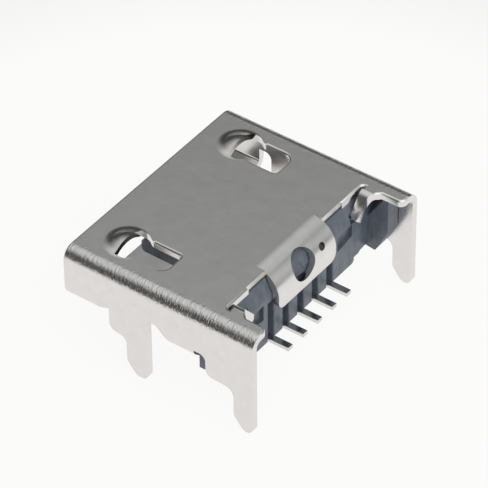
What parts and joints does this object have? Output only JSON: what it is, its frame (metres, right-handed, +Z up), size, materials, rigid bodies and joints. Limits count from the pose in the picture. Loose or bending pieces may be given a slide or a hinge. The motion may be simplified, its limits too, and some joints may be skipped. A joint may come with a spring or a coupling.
{
  "type": "micro usb socket",
  "caption": "Board-mounted micro USB socket: folded steel shell with through-board legs, latch windows and a moulded insulator with surface-mount contact tails.",
  "frame": {"origin": "on the board's top face, under the middle of the shell: the underside of the shell's floor", "axes": "+X across the socket, +Y from the mouth to the contact tails, +Z up from the board"},
  "size_m": [0.0074, 0.006, 0.0033],
  "materials": {
    "shell_steel": "satin nickel plate",
    "insulator": "satin moulded",
    "contact_metal": "tin plated copper alloy"
  },
  "bodies": {
    "root": {"shell": "shell_steel", "housing": "insulator", "contact_1": "contact_metal", "contact_2": "contact_metal", "contact_3": "contact_metal", "contact_4": "contact_metal", "contact_5": "contact_metal"}
  },
  "joints": []
}
